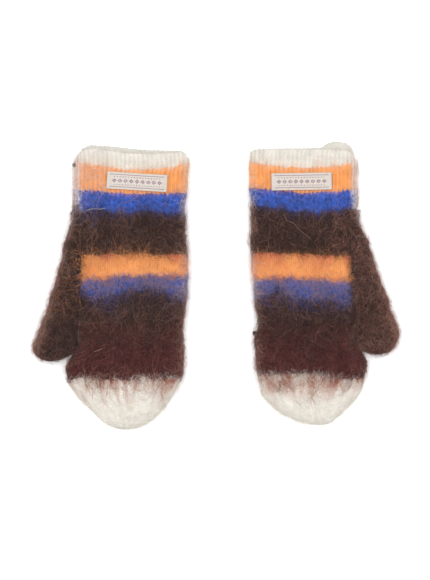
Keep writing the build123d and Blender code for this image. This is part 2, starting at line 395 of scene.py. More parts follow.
class Mitten:
    """One mitten's measures from the CAD frame, and its two surfaces: the hand's tube and the thumb's."""

    def __init__(self, side):
        self.side = side
        self.seed = 10 if side == "left" else 50
        self.hand_tree = outline_tree(side, BANDS)
        self.whole_tree = outline_tree(side, BANDS + ["thumb_gusset", "thumb"])
        self.thumb_tree = outline_tree(side, ["thumb"])
        thumb_joint = next(j for j in frame["joints"] if j["name"] == f"{side}_thumb_swing")
        self.crotch = np.abs(thumb_joint["pos_m"][:2]) * (1, -1) / MM
        self.levels = [level(side, band, 1) for band in BANDS] + [level(side, "mitten_tip", 0)]
        self.hand = self.hand_shell()
        self.thumb = self.thumb_shell()

    def edges(self, y):
        """The inner and outer u of the lying shape at y, and the outer u of the hand alone."""
        inner = outline(self.hand_tree, (0, y), (1, 0))
        outer = outline(self.hand_tree, (250, y), (-1, 0))
        whole = outline(self.whole_tree, (250, y), (-1, 0)) if y > self.crotch[1] else outer
        return inner[0], whole[0], outer[0]

    def junction(self, y):
        """The u of the line where the hand meets the gusset."""
        return GUSSET_LINE + (self.crotch[0] - 0.6 - GUSSET_LINE) * smooth((y + 18) / (self.crotch[1] + 18))

    def crease(self, u, y):
        """1 on open fabric, falling to 0 in the crease between hand and thumb."""
        depth = smooth((CREASE_START - y) / (CREASE_START - self.crotch[1]))
        depth = depth * smooth((y - self.crotch[1]) / CREASE_FADE + 1)
        return 1 - depth * (1 - roll(np.abs(u - self.crotch[0]), CREASE_HALF_WIDTH))

    def heights(self, u, y, inner, outer, end):
        """The upper and lower height of the lying shape; end is 1, falling to 0 at the fingertip."""
        swell = SWELL * waves(u, y, 34, self.seed)
        tall = np.interp(y, [-130, -70, -20, 60, 95, 130],
                         [CROWN["tip"], CROWN["tip"] + 1.5, CROWN["hand"], CROWN["hand"], CROWN["cuff"],
                          CROWN["cuff"] - 0.8])
        distance = np.minimum(u - inner, outer - u)
        lift = roll(distance, EDGE_ROLL) * end * self.crease(u, y)
        drop = roll(distance, UNDER_ROLL) * end * self.crease(u, y)
        top = EDGE_HEIGHT + (tall + swell - EDGE_HEIGHT) * lift
        return top, EDGE_HEIGHT - (EDGE_HEIGHT - CLEARANCE) * drop

    def hand_shell(self):
        mouth, tip_start, tip = self.levels[0] + MOUTH_ROOM, self.levels[-2], self.levels[-1]
        straight = np.arange(mouth, tip_start, -1.0)
        quarter = np.linspace(0, math.pi / 2, 76)[1:]
        round_rows = tip_start + (tip + 0.05 - tip_start) * np.sin(quarter)
        rows = np.concatenate([straight, [tip_start], round_rows])
        limits = np.array([self.edges(min(y, self.levels[0] - 1)) for y in rows])
        limits = self.uneven_outline(rows, limits)
        turn = np.linspace(0, math.pi, 241)
        self.finger_edge = np.stack([rows[::-1], limits[::-1, 2]])
        shell = np.empty((len(rows), COLUMNS + 1, 3))
        for i, (y, (inner, outer, hand_outer)) in enumerate(zip(rows, limits)):
            below = y <= self.crotch[1]
            outer = hand_outer if below else outer
            half, centre = (outer - inner) / 2, (outer + inner) / 2
            u = centre + half * np.cos(turn)
            end = roll(y - tip, TIP_ROLL) if y < tip_start + 20 else 1.0
            top, under = self.heights(u, np.full_like(u, y), inner, outer, end)
            loop = np.concatenate([np.stack([u, top], -1), np.stack([u, under], -1)[-2::-1]])
            split = centre + half * 0.945 if below else min(self.junction(y), outer - 4)
            corner = np.interp(-split, -u, np.arange(len(u)))
            last = len(loop) - 1
            ring = arc_resample(loop, [0, corner, last - corner, last],
                                [GUSSET_COLUMNS, COLUMNS - 2 * GUSSET_COLUMNS, GUSSET_COLUMNS])
            shell[i] = np.stack([ring[:, 0], np.full(len(ring), y), ring[:, 1]], -1)
        squeeze = 1 - (1 - TIP_LENGTH[self.side]) * smooth((tip_start - rows) / 12)
        self.row_heights = tip_start + (rows - tip_start) * squeeze
        shell[..., 1] = self.row_heights[:, None]
        return Shell(shell, closed=True)

    def uneven_outline(self, rows, limits):
        """Rounds the outline's kinks off, lets it waver, and shifts it to where this mitten's edges lie."""
        kernel = np.hanning(9) / np.hanning(9).sum()
        calm = limits.copy()
        for column in range(3):
            near_crotch = np.abs(rows - self.crotch[1]) < 8 if column == 2 else np.zeros(len(rows), bool)
            soft = np.convolve(np.pad(limits[:, column], 4, mode="edge"), kernel, mode="valid")
            keep = (rows < self.levels[-1] + 30) | near_crotch
            calm[:, column] = np.where(keep, limits[:, column], soft)
        fade = smooth((rows - self.levels[-1]) / 25)
        calm[:, 0] += fade * 0.7 * waves(rows, rows * 0, 17, self.seed + 1)
        calm[:, 1] -= fade * 0.8 * waves(rows, rows * 0, 15, self.seed + 2)
        calm[:, 2] -= fade * 0.5 * waves(rows, rows * 0, 15, self.seed + 3)
        skew = TIP_SKEW[self.side] * smooth((-92 - rows) / 36)
        for column, edge in enumerate(("inner", "outer", "finger")):
            calm[:, column] += self.shift(edge, rows) + skew
        calm[:, 0] -= EDGE_STEP[self.side] * smooth((STEP_TOP - rows) / 2.5) * smooth((rows - STEP_END) / 40)
        return calm

    def shift(self, edge, y):
        """How far this mitten's edge lies outwards of the CAD outline at y."""
        return np.interp(y, *zip(*OUTLINE_SHIFT[self.side][edge]))

    def thumb_shell(self):
        """Rows fan out from the gusset's top, turn until they cross the thumb squarely, and go to its end."""
        axis = np.array([math.sin(THUMB_TILT), -math.cos(THUMB_TILT)])
        across = np.array([-axis[1], axis[0]])
        start = self.border(GUSSET_BANDS[0], np.array([GUSSET_COLUMNS]))[0]
        rows = []
        for share in np.linspace(0, 1, GUSSET_ROWS):
            y = start + (self.crotch[1] - start) * share
            inside = np.array([self.junction(y) if share < 1 else self.crotch[0], y])
            turn = THUMB_TILT * share ** 1.6
            direction = np.array([math.cos(turn), math.sin(turn)])
            outside = outline(self.whole_tree, inside + OUTSIDE * direction, -direction)
            outside = outside + (self.shift("outer", outside[1]), 0)
            rows.append((inside, outside, share, 1.0))
        self.thumb_root = len(rows) - 1
        far = outline(self.thumb_tree, rows[-1][0] + 20 * across + OUTSIDE * axis, -axis)
        reach = float((far - self.crotch) @ axis)
        round_part = 26
        steps = np.concatenate([np.arange(1.0, reach - round_part, 1.0),
                                reach - round_part + round_part * np.sin(np.linspace(0, math.pi / 2, 46))])
        for step in steps:
            middle = self.crotch + axis * min(step, reach - 0.04)
            inside = outline(self.thumb_tree, middle - 60 * across, across)
            outside = outline(self.thumb_tree, middle + OUTSIDE * across, -across)
            along = (THUMB_LENGTH[self.side] - 1) * step * axis
            inside, outside = inside + along, outside + along
            close = 1 - smooth((step / reach - 0.62) / 0.38)
            gap = inside[0] - np.interp(inside[1], *self.finger_edge) - THUMB_GAP
            inside = inside - (max(gap, 0) * close, 0)
            outside = outside + (self.shift("outer", outside[1]) * smooth((reach - step) / 8), 0)
            rows.append((inside, outside, 1.0, float(roll(reach - min(step, reach - 0.04), THUMB_TIP_ROLL))))
        turn = np.linspace(0, math.pi, 181)
        weight = (1 - np.cos(turn)) / 2
        shell = np.empty((len(rows), THUMB_COLUMNS + 1, 3))
        for i, (inside, outside, share, end) in enumerate(rows):
            waver = 0.7 * waves(np.array(float(i)), np.array(0.0), 16, self.seed + 4) * min(1, end * 1.2)
            outside = outside - waver * unit(outside - inside)
            line = inside + weight[:, None] * (outside - inside)
            width = np.linalg.norm(outside - inside)
            if share < 1:
                row_outer = line[:, 0] + (1 - weight) * width
                top, under = self.heights(line[:, 0], line[:, 1], HAND_INNER, row_outer, 1.0)
                blend = smooth((share - 0.8) / 0.2)
            else:
                top = under = np.zeros(len(weight))
                blend = 1.0
            distance = np.minimum(weight, 1 - weight) * width
            swell = SWELL * waves(line[:, 0], line[:, 1], 30, self.seed)
            thumb_top = EDGE_HEIGHT + (THUMB_CROWN + swell - EDGE_HEIGHT) * roll(distance, THUMB_ROLL) * end
            thumb_under = EDGE_HEIGHT - (EDGE_HEIGHT - CLEARANCE) * roll(distance, UNDER_ROLL) * end
            at_border = smooth(weight * width / 6)
            mix = blend if share == 1 else blend * at_border
            top, under = top * (1 - mix) + thumb_top * mix, under * (1 - mix) + thumb_under * mix
            loop = np.concatenate([np.column_stack([line, under]), np.column_stack([line, top])[-2::-1]])
            last = len(loop) - 1
            shell[i] = arc_resample(loop, [0, last / 2, last], [THUMB_COLUMNS // 2, THUMB_COLUMNS // 2])
        return Shell(shell, closed=False)

    def border(self, band, column):
        """The y of a band's upper border, for columns of the hand."""
        if band == "cuff_welt":
            return self.mouth(column)
        shifts = np.array(BORDER_SHIFT[band][self.side])
        across = (1 - np.abs(column / COLUMNS - 0.5) * 2) * (len(shifts) - 1)
        near = np.minimum(across.astype(int), len(shifts) - 2)
        lean = shifts[near] + (shifts[near + 1] - shifts[near]) * smooth(across - near)
        tooth, waver = BORDER_TEETH[band]
        wales_per_tooth = 2 if band in BANDS[:4] else 1
        wale = column / STEPS_PER_WALE
        teeth = tooth * np.cos(2 * math.pi * wale / wales_per_tooth)
        teeth = teeth * (1.6 * grain(wale / 2, wale * 0, 3) - 0.2)
        ragged = tooth * (grain(wale * 0.9, wale * 0, self.seed + 4) - 0.5)
        number = BANDS.index(band)
        shift = lean + teeth + ragged + waver * waves(wale, wale * 0, 7, self.seed + number)
        return self.levels[number] + shift

    def mouth(self, column):
        """The y of the cuff's free edge, for columns of the hand."""
        edge_row = self.row_of(self.levels[0])
        u = self.hand.at(np.full(len(column), edge_row), column)[:, 0]
        shapes = MOUTH[self.side]
        back = np.interp(u, *zip(*shapes["back"]))
        palm = np.interp(u, *zip(*shapes["palm"]))
        wale = column / STEPS_PER_WALE
        return np.where(column < COLUMNS / 2, back, palm) + 0.35 * np.cos(math.pi * wale)

    def row_of(self, y):
        return np.interp(-np.asarray(y, float), -self.row_heights, np.arange(len(self.row_heights)))

    def column_of(self, row, u):
        """The column of the back of the hand that lies at u on that row."""
        half = COLUMNS // 2
        return np.interp(-np.asarray(u, float), -self.hand.points[int(row), :half, 0], np.arange(half))


# ---- materials
YARNS = {
    "cream_yarn": (247, 242, 232), "orange_yarn": (255, 172, 103), "blue_yarn": (58, 92, 182),
    "brown_yarn": (60, 38, 32), "brown_maroon_yarn": (66, 38, 34), "maroon_yarn": (84, 39, 37),
    "seam_yarn": (246, 232, 226),
}
SHADES = {
    "cream_yarn": [(252, 250, 243), (246, 241, 231), (238, 224, 210)],
    "orange_yarn": [(255, 182, 116), (246, 152, 86), (226, 130, 84)],
    "blue_yarn": [(84, 114, 204), (56, 82, 172), (136, 128, 174)],
    "brown_yarn": [(34, 21, 18), (78, 50, 42), (128, 87, 74), (180, 134, 116)],
    "brown_maroon_yarn": [(40, 21, 19), (86, 48, 43), (126, 76, 66), (170, 116, 100)],
    "maroon_yarn": [(50, 22, 21), (96, 46, 44), (132, 72, 66), (172, 114, 104)],
    "seam_yarn": [(250, 240, 234), (236, 218, 214), (206, 180, 176)],
    "rose_brown": [(154, 98, 84), (192, 138, 120), (216, 180, 164)],
    "pink_cream": [(222, 172, 150), (182, 116, 92), (146, 82, 64)],
    "lilac": [(150, 140, 184), (196, 160, 156), (222, 150, 108)],
}
BAND_YARN = {"cuff_welt": "cream_yarn", "cuff_rib_band": "orange_yarn", "wrist_band": "blue_yarn",
             "palm_brown_band": "brown_yarn", "palm_orange_band": "orange_yarn",
             "knuckle_blue_band": "blue_yarn", "finger_brown_band": "brown_yarn",
             "finger_fold_band": "brown_maroon_yarn", "finger_maroon_band": "maroon_yarn",
             "mitten_tip": "cream_yarn", "thumb_gusset": "brown_yarn", "thumb": "brown_yarn"}

PINK_CREAM = (172, 92, 66)        # what cream yarn turns to under maroon mohair
RUST = (206, 112, 84)             # clouds in the upper part of the second orange band
RUST_REACH = 12                   # mm
# What the colour of the next yarn does near a band's upper and lower border: depth in mm and strength.
BLEED = {
    "cuff_welt": ((1, 0), (4, 0.3)), "cuff_rib_band": ((2.5, 0.2), (2, 0.2)),
    "wrist_band": ((1.5, 0.25), (2, 0.3)), "palm_brown_band": ((3, 0.35), (2, 0.2)),
    "palm_orange_band": ((4.5, 0.4), (1.5, 0.25)), "knuckle_blue_band": ((2.5, 0.35), (6, 0.7)),
    "finger_brown_band": ((6, 0.3), (9, 0.4)), "finger_fold_band": ((8, 0.8), (15, 1.0)),
    "finger_maroon_band": ((4, 0.3), (1.5, 0.15)), "mitten_tip": ((8.5, 0.8), (1, 0)),
}
PALE_YARNS = ("cream_yarn", "orange_yarn")
# Painted shade: how much darker the hollows between stitches are painted, and the raised stitches lighter, by
# their relief; pale yarns let light through, so theirs is weaker.
HOLLOW_SHADE = {"cream_yarn": 0.12, "orange_yarn": 0.12, "blue_yarn": 0.6, "brown_yarn": 0.5,
                "brown_maroon_yarn": 0.5, "maroon_yarn": 0.5}
SEAM_PITCH = 3.9                  # mm from lump to lump
WELT_SHADE = 0.08                 # how much darker the cuff's edge is
# How ribbed each cuff band is, as a share of RIB_DEPTH.
RIBBED = {"cuff_welt": 0.8, "cuff_rib_band": 0.95, "wrist_band": 0.25}


def mixed(colour, other, share):
    """A colour turned to another by a share between 0 and 1 for each point."""
    share = share[..., None]
    return colour * (1 - share) + linear(other) * share


def set_inputs(owner, node, inputs):
    """Gives a node's inputs their values, or links them to the outputs of other nodes."""
    for name, value in inputs.items():
        if isinstance(value, bpy.types.NodeSocket):
            owner.node_tree.links.new(value, node.inputs[name])
        else:
            node.inputs[name].default_value = value


def add_node(material, kind, inputs, output=0, **settings):
    """One output of a new shader node with those settings and inputs."""
    node = material.node_tree.nodes.new(f"ShaderNode{kind}")
    for name, value in settings.items():
        setattr(node, name, value)
    set_inputs(material, node, inputs)
    return node.outputs[output]


def new_material(name, roughness, sheen, sheen_roughness):
    material = bpy.data.materials.new(name)
    material.use_nodes = True
    shader = material.node_tree.nodes["Principled BSDF"]
    set_inputs(material, shader, {"Roughness": roughness, "Sheen Weight": sheen,
                                  "Sheen Roughness": sheen_roughness, "Specular IOR Level": 0.2})
    return material, shader


def yarn_material(name, woven=False):
    """Yarn that takes its colour from the tint of each point, flecked lighter and darker by a fibre noise; on
    knitted yarn the same noise sinks the bump, so its dark flecks are painted shade between the fibres.

    Knitted yarn has fibres in relief; a woven tape has ridges of warp and weft.
    """
    material, shader = new_material(name, 0.92, 0.35, 0.45)
    tint = add_node(material, "Attribute", {}, "Vector", attribute_name="tint")
    weave = add_node(material, "Attribute", {}, "Vector", attribute_name="weave")
    stretched = add_node(material, "Mapping", {"Scale": (2.2, 0.7, 2.2), "Vector": weave})
    noise = {"Scale": 1.0, "Detail": 4.0, "Roughness": 0.65, "Vector": stretched}
    fibres = add_node(material, "TexNoise", noise, "Fac")
    # the fibre noise as a colour scale: the yarn's own flecks, and painted shade where the knitted bump sinks
    flecks_and_shade = add_node(material, "MapRange", {"From Min": 0.3, "From Max": 0.72, "To Min": 0.72,
                                             "To Max": 1.14, "Value": fibres})
    coloured = add_node(material, "VectorMath", {0: tint, "Scale": flecks_and_shade}, operation="SCALE")
    height = fibres
    if woven:
        ridges = [add_node(material, "TexWave", {"Scale": 0.62, "Vector": weave}, "Fac", bands_direction=way)
                  for way in "XY"]
        height = add_node(material, "Math", {0: ridges[0], 1: ridges[1]}, operation="ADD")
    bump = add_node(material, "Bump", {"Strength": 0.5, "Distance": 0.0003, "Height": height})
    set_inputs(material, shader, {"Base Color": coloured, "Normal": bump})
    return material


def fibre_material(name, colour):
    """One shade of loose mohair fibre. A fibre is far thinner than any pattern, so the shades are even."""
    material, shader = new_material(name, 0.7, 0.25, 0.4)
    set_inputs(material, shader, {"Base Color": (*linear(colour), 1)})
    return material


KNIT_MATERIAL = {yarn: yarn_material(yarn) for yarn in [*YARNS, "label_thread"]}
LABEL_WEAVE = yarn_material("label_weave", woven=True)
FIBRE_MATERIALS = {yarn: [fibre_material(f"{yarn}_fibre_{i}", shade) for i, shade in enumerate(shades)]
                   for yarn, shades in SHADES.items()}


# ---- knitted pieces
def wales_of(rows, columns):
    """The wale of each point of a mesh."""
    return columns[None, :] / STEPS_PER_WALE + rows * 0


def relief(wale, along, ribbed):
    """Height of the stitches: v-shaped pairs of strands in columns, which a ribbed cuff raises and sinks."""
    across = 2 * (wale - np.floor(wale)) - 1
    uneven = 0.5 + grain(wale * 0.7, along * 0.5, 31)
    shape = STITCH_DEPTH * uneven * np.cos(2 * math.pi * (along / COURSE - 0.45 * np.abs(across)))
    shape = shape + WALE_DEPTH * np.cos(math.pi * across)
    rib = RIB_DEPTH * (0.35 + 0.95 * grain(wale * 0.5, along * 0.12, 32)) * np.cos(math.pi * (wale - 0.5))
    nubs = 0.5 * (grain(wale * 1.3, along * 0.75, 33) - 0.5)
    return shape + ribbed * rib + (ribbed > 0) * nubs * (1.2 - ribbed)


def band_tint(band, wale, down, up, depth, seed):
    """Colour of each point of a band, from its distance to the upper and lower border, with painted shade in
    the hollows of its relief.
    """
    number, yarn = BANDS.index(band), BAND_YARN[band]
    colour = np.broadcast_to(linear(YARNS[yarn]), (*wale.shape, 3)).copy()
    streak = grain(wale * 0.8, down * 0.12, seed + number) * 0.6
    streak = streak + grain(wale * 2.1, down * 0.5, seed + 5) * 0.4
    cloud = grain(wale * 0.17, down * 0.06, seed + 21)
    if band == "mitten_tip":
        strand = 0.65 * grain(wale * 0.5, down * 0.05, seed + 22) + 0.35 * cloud
        streak = smooth((strand - 0.3) / 0.5)
    for neighbour, distance, (reach, strength) in ((number - 1, down, BLEED[band][0]),
                                                   (number + 1, up, BLEED[band][1])):
        if 0 <= neighbour < len(BANDS) and strength:
            far = np.exp(-np.maximum(distance, 0) / (reach * (0.35 + 1.3 * streak)))
            other = PINK_CREAM if band == "mitten_tip" else YARNS[BAND_YARN[BANDS[neighbour]]]
            colour = mixed(colour, other, np.clip(strength * far * (0.45 + 1.1 * streak), 0, 1))
    from_seam = np.minimum(wale, WALES - wale) * STEPS_PER_WALE
    if band in RIBBED:
        colour = mixed(colour, YARNS["seam_yarn"], 0.9 * smooth((30 - from_seam + 16 * (streak - 0.5)) / 20))
    if band in GUSSET_BANDS:
        fuzz = 1.1 * np.exp(-(from_seam - GUSSET_COLUMNS) / 3) * (0.2 + streak)
        colour = mixed(colour, YARNS["brown_yarn"], np.clip(fuzz, 0, 1))
    if band == "palm_orange_band":
        rusty = (0.2 + 0.75 * smooth((cloud - 0.32) / 0.45)) * np.exp(-down / RUST_REACH)
        colour = mixed(colour, RUST, rusty)
    # shade: the yarn's own uneven tone, plus painted shade that darkens the hollows between stitches and
    # lightens the raised stitches
    shade = 1 + 0.16 * (grain(wale * 0.35, down * 0.25, seed + 9) - 0.5) + HOLLOW_SHADE[yarn] * depth
    if band == "cuff_welt":
        shade = shade - WELT_SHADE
    if yarn not in PALE_YARNS:
        shade = shade + 0.8 * (grain(wale * 1.1, down * 0.6, seed + 12) - 0.5)
    return colour * shade[..., None]


def knit(builder, shell, rows, columns, tint, weave_rows, ribbed, closed, pole):
    """A closed piece of fabric: its stitched outer face, plain inner face and the edges between them."""
    wale = wales_of(rows, columns)
    height = relief(wale, weave_rows, ribbed)
    outer = shell.at(rows, columns[None, :], height)
    outer[..., 2] = np.maximum(outer[..., 2], LOWEST)
    weave = np.stack([wale * 2.2, weave_rows, height * 3], -1)
    ids = builder.add(outer, tint, weave)
    last = rows.shape[0] - 1
    step = max(1, last // max(1, round(last * ROW_STEP / INNER_ROW)))
    picked_rows = np.unique(np.append(np.arange(0, last + 1, step), last))
    picked_columns = np.unique(np.append(np.arange(0, len(columns), INNER_STEP), len(columns) - 1))
    pick = np.ix_(picked_rows, picked_columns)
    inner = shell.at(rows[pick], columns[picked_columns][None, :], -WALL)
    # painted shade: the plain inner face is painted 5% darker than the outer face
    inner_ids = builder.add(inner, tint[pick] * 0.95, weave[pick])
    if closed:
        ids[:, -1] = ids[:, 0]
        inner_ids[:, -1] = inner_ids[:, 0]
    builder.quads(ids)
    builder.quads(inner_ids, flip=True)
    builder.zip(ids[0], inner_ids[0], flip=True)
    if pole is None:
        builder.zip(ids[-1], inner_ids[-1])
    else:
        end = builder.add(np.stack([pole, pole - (outer[-1].mean(0) - inner[-1].mean(0))]),
                          tint[-1, :2], weave[-1, :2])
        builder.fan(ids[-1], end[0], flip=True)
        builder.fan(inner_ids[-1], end[1])
    if not closed:
        builder.zip(ids[:, 0], inner_ids[:, 0])
        builder.zip(ids[:, -1], inner_ids[:, -1], flip=True)


def row_grid(mitten, band, columns):
    """Rows of a band's mesh on the hand's shell, and how far each point is from its two borders."""
    number = BANDS.index(band)
    upper_y = mitten.border(band, columns)
    upper = mitten.row_of(upper_y)
    count = math.ceil((mitten.levels[number] - mitten.levels[number + 1]) / ROW_STEP)
    if band == "mitten_tip":
        count, lower = TIP_ROWS, np.full(len(columns), mitten.hand.rows - 1.6)
        length = lower - upper
    else:
        lower_y = mitten.border(BANDS[number + 1], columns)
        lower, length = mitten.row_of(lower_y), upper_y - lower_y
    share = np.linspace(0, 1, max(4, count) + 1)[:, None]
    return upper + share * (lower - upper), share * length, (1 - share) * length


def attach(piece, mitten, part):
    """Moves the piece as that part moves, with one body; a piece of a part that bends between two bodies is
    only baked in place.
    """
    side, levels, root = mitten.side, mitten.levels, mitten.crotch

    def place(u, y):
        return u * SIDES[side] * MM, y * MM, MID * MM

    wrist, fold = BANDS.index("wrist_band"), BANDS.index("finger_fold_band")
    up_the_thumb = GUSSET_BEND * np.array([math.sin(THUMB_TILT), -math.cos(THUMB_TILT)])
    bends = {"wrist_band": ("cuff", (HAND_MIDDLE, levels[wrist + 1]), (HAND_MIDDLE, levels[wrist])),
             "finger_fold_band": ("fingers", (HAND_MIDDLE, levels[fold]), (HAND_MIDDLE, levels[fold + 1])),
             "thumb_gusset": ("thumb", root - up_the_thumb, root)}
    if part in bends:
        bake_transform(piece)
    else:
        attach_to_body(piece, f"{side}_{BODY_OF[part]}")


def knit_band(mitten, band):
    closed = band not in GUSSET_BANDS
    beyond = 0 if closed else GUSSET_COLUMNS
    columns = np.arange(beyond, COLUMNS - beyond + 1).astype(float)
    rows, down, up = row_grid(mitten, band, columns)
    wale = wales_of(rows, columns)
    ribbed = RIBBED.get(band, 0.0)
    # the stitches' relief, which band_tint turns into painted shade in their hollows
    depth = np.clip(relief(wale, down, ribbed), -0.6, 0.4)
    tint = band_tint(band, wale, down, up, depth, mitten.seed)
    pole = mitten.hand.points[-1].mean(0) if band == "mitten_tip" else None
    finish_knit(mitten, band, mitten.hand, rows, columns, tint, down, ribbed, closed, pole)


def knit_thumb(mitten, part):
    """The gusset (rows down to the crotch) or the thumb (from there to its end)."""
    shell, closed = mitten.thumb, part == "thumb"
    first, last = (mitten.thumb_root, shell.rows - 1.5) if closed else (0, mitten.thumb_root)
    columns = np.arange(THUMB_COLUMNS + 1).astype(float)
    count = math.ceil((last - first) / ROW_STEP) + 1
    rows = np.linspace(first, last, count)[:, None] + columns[None, :] * 0
    wale = wales_of(rows, columns)
    # painted shade: the tint is darkened in the hollows of the stitches' relief and lightened on the raised
    # stitches, over the yarn's own uneven tone
    shade = 1 + 0.25 * (grain(wale * 0.35, rows * 0.2, mitten.seed + 7) - 0.5) + 0.5 * relief(wale, rows, 0)
    tint = linear(YARNS["brown_yarn"]) * shade[..., None]
    if not closed:
        outer = 1 - np.abs(columns / THUMB_COLUMNS - 0.5) * 2
        reach = 1.5 + 8 * smooth(1.4 * outer - 0.3)
        pale = np.exp(-rows / reach) * (0.2 + 0.9 * grain(wale * 0.6, rows * 0.3, mitten.seed + 8))
        tint = mixed(tint, SHADES["seam_yarn"][2], np.clip(pale, 0, 1))
    pole = shell.points[-1].mean(0) if closed else None
    finish_knit(mitten, part, shell, rows, columns, tint, rows, 0, closed, pole)


def finish_knit(mitten, part, *fabric):
    builder, yarn, name = Builder(), BAND_YARN[part], f"{mitten.side}_{part}"
    knit(builder, *fabric)
    piece = builder.piece(f"{name}_knit", SIDES[mitten.side], [KNIT_MATERIAL[yarn]])
    finish_piece(piece, mitten, part, yarn, name)


def finish_piece(piece, mitten, part, slot, *nodes):
    attach(piece, mitten, part)
    if nodes:
        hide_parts(*nodes)


# ---- nap
EDGE_COLUMNS = 14           # how far the edge and the rim reach over the upper and the lower face
START_ROWS = 14             # of the gusset
OVERLAP = 11                # how far past a band's CAD levels its fibres are sought, in mm
CLUMP = (5, 2.2)            # size of a clump of fibres of one shade, in columns and rows
CLOUD = (22, 9)             # size of a cloud
MOST_LIFT = 5.5             # how high a fibre may stand, in mm
CURL = 0.24                 # how much a fibre turns at each step, in radians
ROOT_DEPTH = 0.25           # how deep in the knit it starts, in mm
FIBRE_LOWEST = 0.03         # the least height of its surface over the table


def strands(builder, shell, row, column, angle, length, lift, radius, steps, shade, rng):
    """Closed, tapering three-sided fibres that leave the knit at (row, column) and wander over it."""
    count = len(row)
    path = np.empty((steps + 1, count, 3))
    steady = rng.normal(0, CURL, count)
    phase = rng.uniform(0, 2 * math.pi, count)
    row, column, angle = row.copy(), column.copy(), angle.copy()
    for k in range(steps + 1):
        share = k / steps
        path[k] = shell.at(row, column, lift * share ** 0.75 - ROOT_DEPTH)
        angle = angle + steady + rng.normal(0, CURL * 0.7, count) + 0.35 * CURL * np.sin(phase + 5 * share)
        size = shell.size(row, column)
        row = row + np.cos(angle) * length / steps / size[:, 0]
        column = column + np.sin(angle) * length / steps / size[:, 1]
    path[..., 2] = np.maximum(path[..., 2], LOWEST)
    along = unit(np.gradient(path, axis=0))
    side_way = unit(np.cross(along, np.array([0.21, 0.13, 0.97])))
    other_way = np.cross(side_way, along)
    thickness = (radius[None, :] * (1 - 0.55 * np.linspace(0, 1, steps + 1)[:, None] ** 1.5))[..., None]
    rings = np.stack([path + thickness * (math.cos(a) * side_way + math.sin(a) * other_way)
                      for a in (0, 2 * math.pi / 3, 4 * math.pi / 3)], axis=2)[:-1]
    rings[..., 2] = np.maximum(rings[..., 2], FIBRE_LOWEST)
    ids = builder.add(rings.transpose(1, 0, 2, 3))
    tips = builder.add(path[-1])
    for a, b in ((0, 1), (1, 2), (2, 0)):
        body = np.stack([ids[:, :-1, a], ids[:, :-1, b], ids[:, 1:, b], ids[:, 1:, a]], -1)
        builder.face(body.reshape(-1, 4), np.repeat(shade, steps - 1))
        builder.face(np.stack([ids[:, -1, a], ids[:, -1, b], tips], -1), shade)
    builder.face(ids[:, 0, ::-1], shade)


def roots(shell, rows, columns, density, rng, under=0.35):
    """Random places on part of a shell, as many per area everywhere but fewer underneath."""
    r0, r1 = int(rows[0]), int(math.ceil(rows[1]))
    c0, c1 = int(columns[0]), int(math.ceil(columns[1]))
    sizes = shell.sizes[r0:r1, c0:c1]
    weight = sizes[..., 0] * sizes[..., 1]
    weight = weight * np.where(shell.normals[r0:r1, c0:c1, 2] < -0.4, under, 1.0)
    total = weight.sum()
    chosen = rng.choice(weight.size, int(density * total), p=(weight / total).ravel())
    row = r0 + chosen // weight.shape[1] + rng.uniform(0, 1, len(chosen))
    column = c0 + chosen % weight.shape[1] + rng.uniform(0, 1, len(chosen))
    return np.clip(row, rows[0], rows[1]), column


# Layers of fibres: how many per mm2, mean length and lift in mm, thickness, mesh steps, how unevenly they
# lie, and how much of them shows in each shade of their yarn.
LAYERS = {
    "sparse": (0.20, 4.5, 0.9, 0.08, 5, 0.5, (0.5, 0.3, 0.2)),
    "thin": (0.30, 5.5, 1.0, 0.08, 5, 0.6, (0.5, 0.3, 0.2)),
    "soft": (0.50, 6.0, 1.0, 0.085, 5, 0.5, (0.6, 0.3, 0.1)),
    "dense": (0.80, 6.5, 1.7, 0.105, 5, 0.6, (0.32, 0.40, 0.19, 0.09)),
    "loose_few": (0.010, 13, 2.2, 0.075, 10, 0.8, (0.4, 0.2, 0.4)),
    "loose": (0.050, 17, 3.0, 0.085, 10, 0.7, (0.05, 0.30, 0.40, 0.25)),
    "foreign": (0.030, 15, 1.6, 0.085, 9, 0.6, (0.5, 0.2, 0.3)),
    "foreign_many": (0.16, 8, 1.9, 0.085, 7, 0.8, (0.3, 0.3, 0.4)),
    "haze": (0.42, 7, 2.3, 0.08, 6, 0.8, (0.55, 0.28, 0.17)),
    "fog": (1.50, 5.0, 2.2, 0.09, 5, 0.7, (0.66, 0.22, 0.12)),
    "edge": (1.5, 6.0, 1.8, 0.09, 6, 1.0, (0.5, 0.3, 0.2)),
    "rim": (0.75, 7.5, 3.6, 0.07, 6, 0.9, (0.3, 0.4, 0.3)),
    "halo": (1.10, 10.0, 4.4, 0.07, 8, 0.8, (0.35, 0.35, 0.3)),
    "cross": (2.2, 5.0, 1.6, 0.09, 5, 1.4, (0.5, 0.3, 0.2)),
    "fringe": (1.0, 4.2, 1.3, 0.10, 5, 0.3, (0.5, 0.35, 0.15)),
    "streak": (0.22, 15, 2.4, 0.09, 10, 0.22, (0.5, 0.3, 0.2)),
    "tuft": (0.35, 14, 2.2, 0.09, 10, 0.35, (0.5, 0.3, 0.2)),
}
# What each part carries: (layer, yarn, share that points to the fingertip, zone). A zone is all of the part,
# clouds scattered over it, its edge on the thumb's side, its rim on both sides, the seam where it joins the
# gusset, the gusset's first rows, or a patch on the back as (u from, u to, y from, y to).
ROSE_RIM = ("rim", "rose_brown", 0.5, "rim")
PALE_RIM = ("rim", "seam_yarn", 0.5, "rim")
PALE_EDGE = ("edge", "seam_yarn", 0.5, "edge")
ROSE_HALO = ("halo", "rose_brown", 0.6, "edge")
JOIN = ("cross", "brown_yarn", 0.5, "junction")


def all_over(*layers):
    return [(*layer, "all") for layer in layers]


def fleece(yarn, downwards, loose_downwards):
    """The thick brushed nap of the dark parts: short dense fibres under long loose ones."""
    return all_over(("dense", yarn, downwards), ("loose", yarn, loose_downwards))


